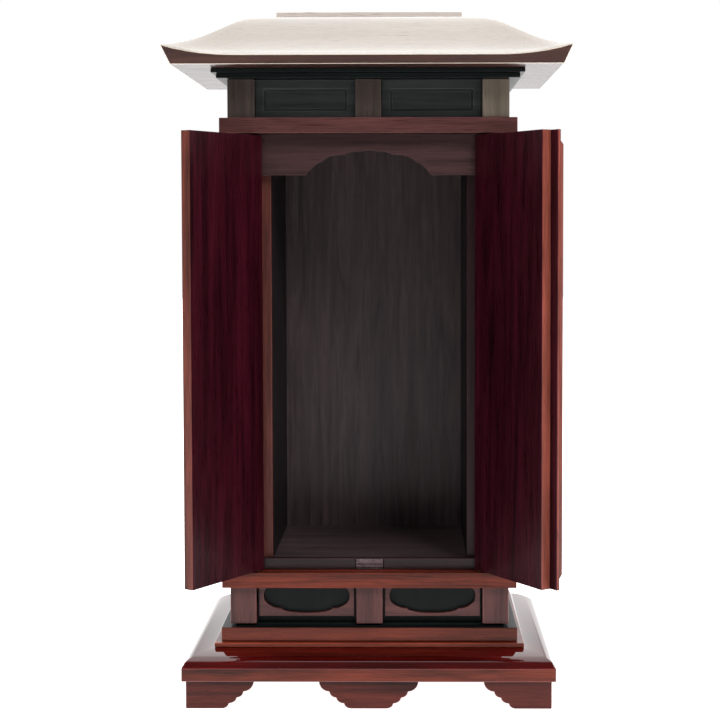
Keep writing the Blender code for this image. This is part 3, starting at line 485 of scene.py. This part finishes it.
def dress_wood():
    """Give every wooden node its finished piece."""
    for seed, node_name in enumerate(sorted(frame["nodes"])):
        rule = next((rule for rule in PIECE_FINISHES if node_name.startswith(rule[0])), None)
        if rule is None:
            continue
        _, finish, axis, edge = rule
        face = wood_material(node_name + "_wood", finish, axis, seed)
        # Second material: the same wood made lighter, a painted highlight for the bevelled
        # edges
        edge_painted_highlight = wood_material(node_name + "_edge", finish, axis, seed, PAINTED_HIGHLIGHT_GAIN)
        materials = [face, edge_painted_highlight]
        bm = clean_copy(node_name)
        if node_name in OTHER_FACES:
            belongs, other = OTHER_FACES[node_name]
            materials.append(wood_material(node_name + "_other_wood", other, axis, seed))
            set_other_faces(bm, belongs)
        add_piece(node_name + "_finish", bm, node_name, materials, edge)


def dress_metal():
    """Pins and the catch."""
    pin_metal = metal_material("pin_brass", PIN_TONE, 0.35)
    pin_metal_painted_shade = metal_material("pin_brass_painted_shade", PIN_TONE_IN_PAINTED_SHADE, 0.45)
    catch_metal = metal_material("catch_bronze", CATCH_TONE, 0.38)
    for node_name in sorted(frame["nodes"]):
        if "pivot_pin" in node_name:
            # Top pins take the darkened brass, painted shade
            metal = pin_metal_painted_shade if node_name.endswith("top") else pin_metal
            bm = clean_copy(node_name)
            add_piece(node_name + "_finish", bm, node_name, (metal,), FINE_EDGE)
    bm = clean_copy("door_catch")
    add_piece("door_catch_finish", bm, "door_catch", (catch_metal,), FINE_EDGE)


def roof_middle_y():
    """Y of the roof's middle, from which the camera's distance is counted."""
    low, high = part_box("roof")
    return (low[1] + high[1]) / 2


def add_camera():
    """Camera at the place and angle from which the photograph was taken."""
    camera_data = bpy.data.cameras.new("photo_camera")
    camera_data.sensor_width = SENSOR_WIDTH
    camera_data.sensor_fit = "HORIZONTAL"
    camera_data.lens = SENSOR_WIDTH * FOCAL_PIXELS / PHOTO_SIDE
    camera_data.shift_x = (PHOTO_SIDE / 2 - PRINCIPAL_X) / PHOTO_SIDE
    camera_data.shift_y = (PRINCIPAL_Y - PHOTO_SIDE / 2) / PHOTO_SIDE
    camera_data.clip_start = 0.05
    camera = bpy.data.objects.new("photo_camera", camera_data)
    bpy.context.scene.collection.objects.link(camera)
    pitch, yaw, roll = (math.radians(v) for v in (CAMERA_PITCH, CAMERA_YAW, CAMERA_ROLL))
    forward = Vector(
        (-math.sin(yaw) * math.cos(pitch), math.cos(yaw) * math.cos(pitch), -math.sin(pitch))
    )
    level_right = Vector((math.cos(yaw), math.sin(yaw), 0.0))
    level_up = level_right.cross(forward)
    right = level_right * math.cos(roll) + level_up * math.sin(roll)
    up = level_up * math.cos(roll) - level_right * math.sin(roll)
    rotation = Matrix((right, up, -forward)).transposed().to_4x4()
    place = Vector((CAMERA_X, roof_middle_y() - CAMERA_FROM_ROOF_MIDDLE, CAMERA_HEIGHT))
    camera.matrix_world = Matrix.Translation(place) @ rotation
    bpy.context.scene.camera = camera


def add_area_light(name, place, aim, size, power):
    """Large soft light that looks at a point."""
    light = bpy.data.lights.new(name, "AREA")
    light.shape = "RECTANGLE"
    light.size = size[0]
    light.size_y = size[1]
    light.energy = power
    holder = bpy.data.objects.new(name, light)
    bpy.context.scene.collection.objects.link(holder)
    holder.location = place
    direction = Vector(aim) - Vector(place)
    holder.rotation_euler = direction.to_track_quat("-Z", "Y").to_euler()


def add_world():
    """Pale surroundings: bright behind, dim in front."""
    world = bpy.data.worlds.new("studio")
    world.use_nodes = True
    tree = world.node_tree
    tree.nodes.clear()
    output = tree.nodes.new("ShaderNodeOutputWorld")
    lighting = tree.nodes.new("ShaderNodeBackground")
    backdrop = tree.nodes.new("ShaderNodeBackground")
    backdrop.inputs["Color"].default_value = (1.0, 1.0, 1.0, 1.0)
    backdrop.inputs["Strength"].default_value = 1.0
    mix = tree.nodes.new("ShaderNodeMixShader")
    path = tree.nodes.new("ShaderNodeLightPath")
    split = tree.nodes.new("ShaderNodeSeparateXYZ")
    tree.links.new(tree.nodes.new("ShaderNodeTexCoord").outputs["Generated"], split.inputs[0])
    strength = add_range(tree, split.outputs["Y"], *WORLD_TURN, WORLD_FRONT, WORLD_BEHIND)
    tree.links.new(strength, lighting.inputs["Strength"])
    tree.links.new(path.outputs["Is Camera Ray"], mix.inputs[0])
    tree.links.new(lighting.outputs[0], mix.inputs[1])
    tree.links.new(backdrop.outputs[0], mix.inputs[2])
    tree.links.new(mix.outputs[0], output.inputs["Surface"])
    bpy.context.scene.world = world


def add_floor():
    """Plain pale floor that glows evenly around and behind the cabinet."""
    material, tree, shader = new_material("pale_floor")
    coordinates = tree.nodes.new("ShaderNodeTexCoord").outputs["Object"]
    speckle = add_noise(tree, coordinates, 30.0, 3.0)
    ramp = tree.nodes.new("ShaderNodeValToRGB")
    tree.links.new(speckle, ramp.inputs["Fac"])
    for stop, tone in zip(ramp.color_ramp.elements, FLOOR_TONES):
        stop.color = (tone, tone, tone, 1.0)
    tree.links.new(ramp.outputs["Color"], shader.inputs["Base Color"])
    shader.inputs["Roughness"].default_value = 0.85
    shader.inputs["Specular IOR Level"].default_value = 0.0
    split = tree.nodes.new("ShaderNodeSeparateXYZ")
    tree.links.new(coordinates, split.inputs[0])
    glow = add_range(tree, split.outputs["Y"], GLOW_START, GLOW_FULL, 0.0, 1.0)
    shader.inputs["Emission Color"].default_value = (1.0, 1.0, 1.0, 1.0)
    tree.links.new(glow, shader.inputs["Emission Strength"])
    bm = bmesh.new()
    bmesh.ops.create_circle(bm, cap_ends=True, segments=96, radius=FLOOR_RADIUS)
    mesh = bpy.data.meshes.new("floor")
    bm.to_mesh(mesh)
    bm.free()
    mesh.materials.append(material)
    floor = bpy.data.objects.new("floor", mesh)
    bpy.context.scene.collection.objects.link(floor)
    floor.location.z = -FLOOR_DROP


def add_studio():
    """Light, floor and colour handling."""
    add_world()
    add_floor()
    add_area_light("key_light", KEY_PLACE, LIGHT_TARGET, LIGHT_SIZE, KEY_POWER)
    add_area_light("fill_light", FILL_PLACE, LIGHT_TARGET, LIGHT_SIZE, FILL_POWER)
    bpy.context.scene.view_settings.view_transform = "Standard"


add_camera()
add_studio()
dress_wood()
dress_metal()
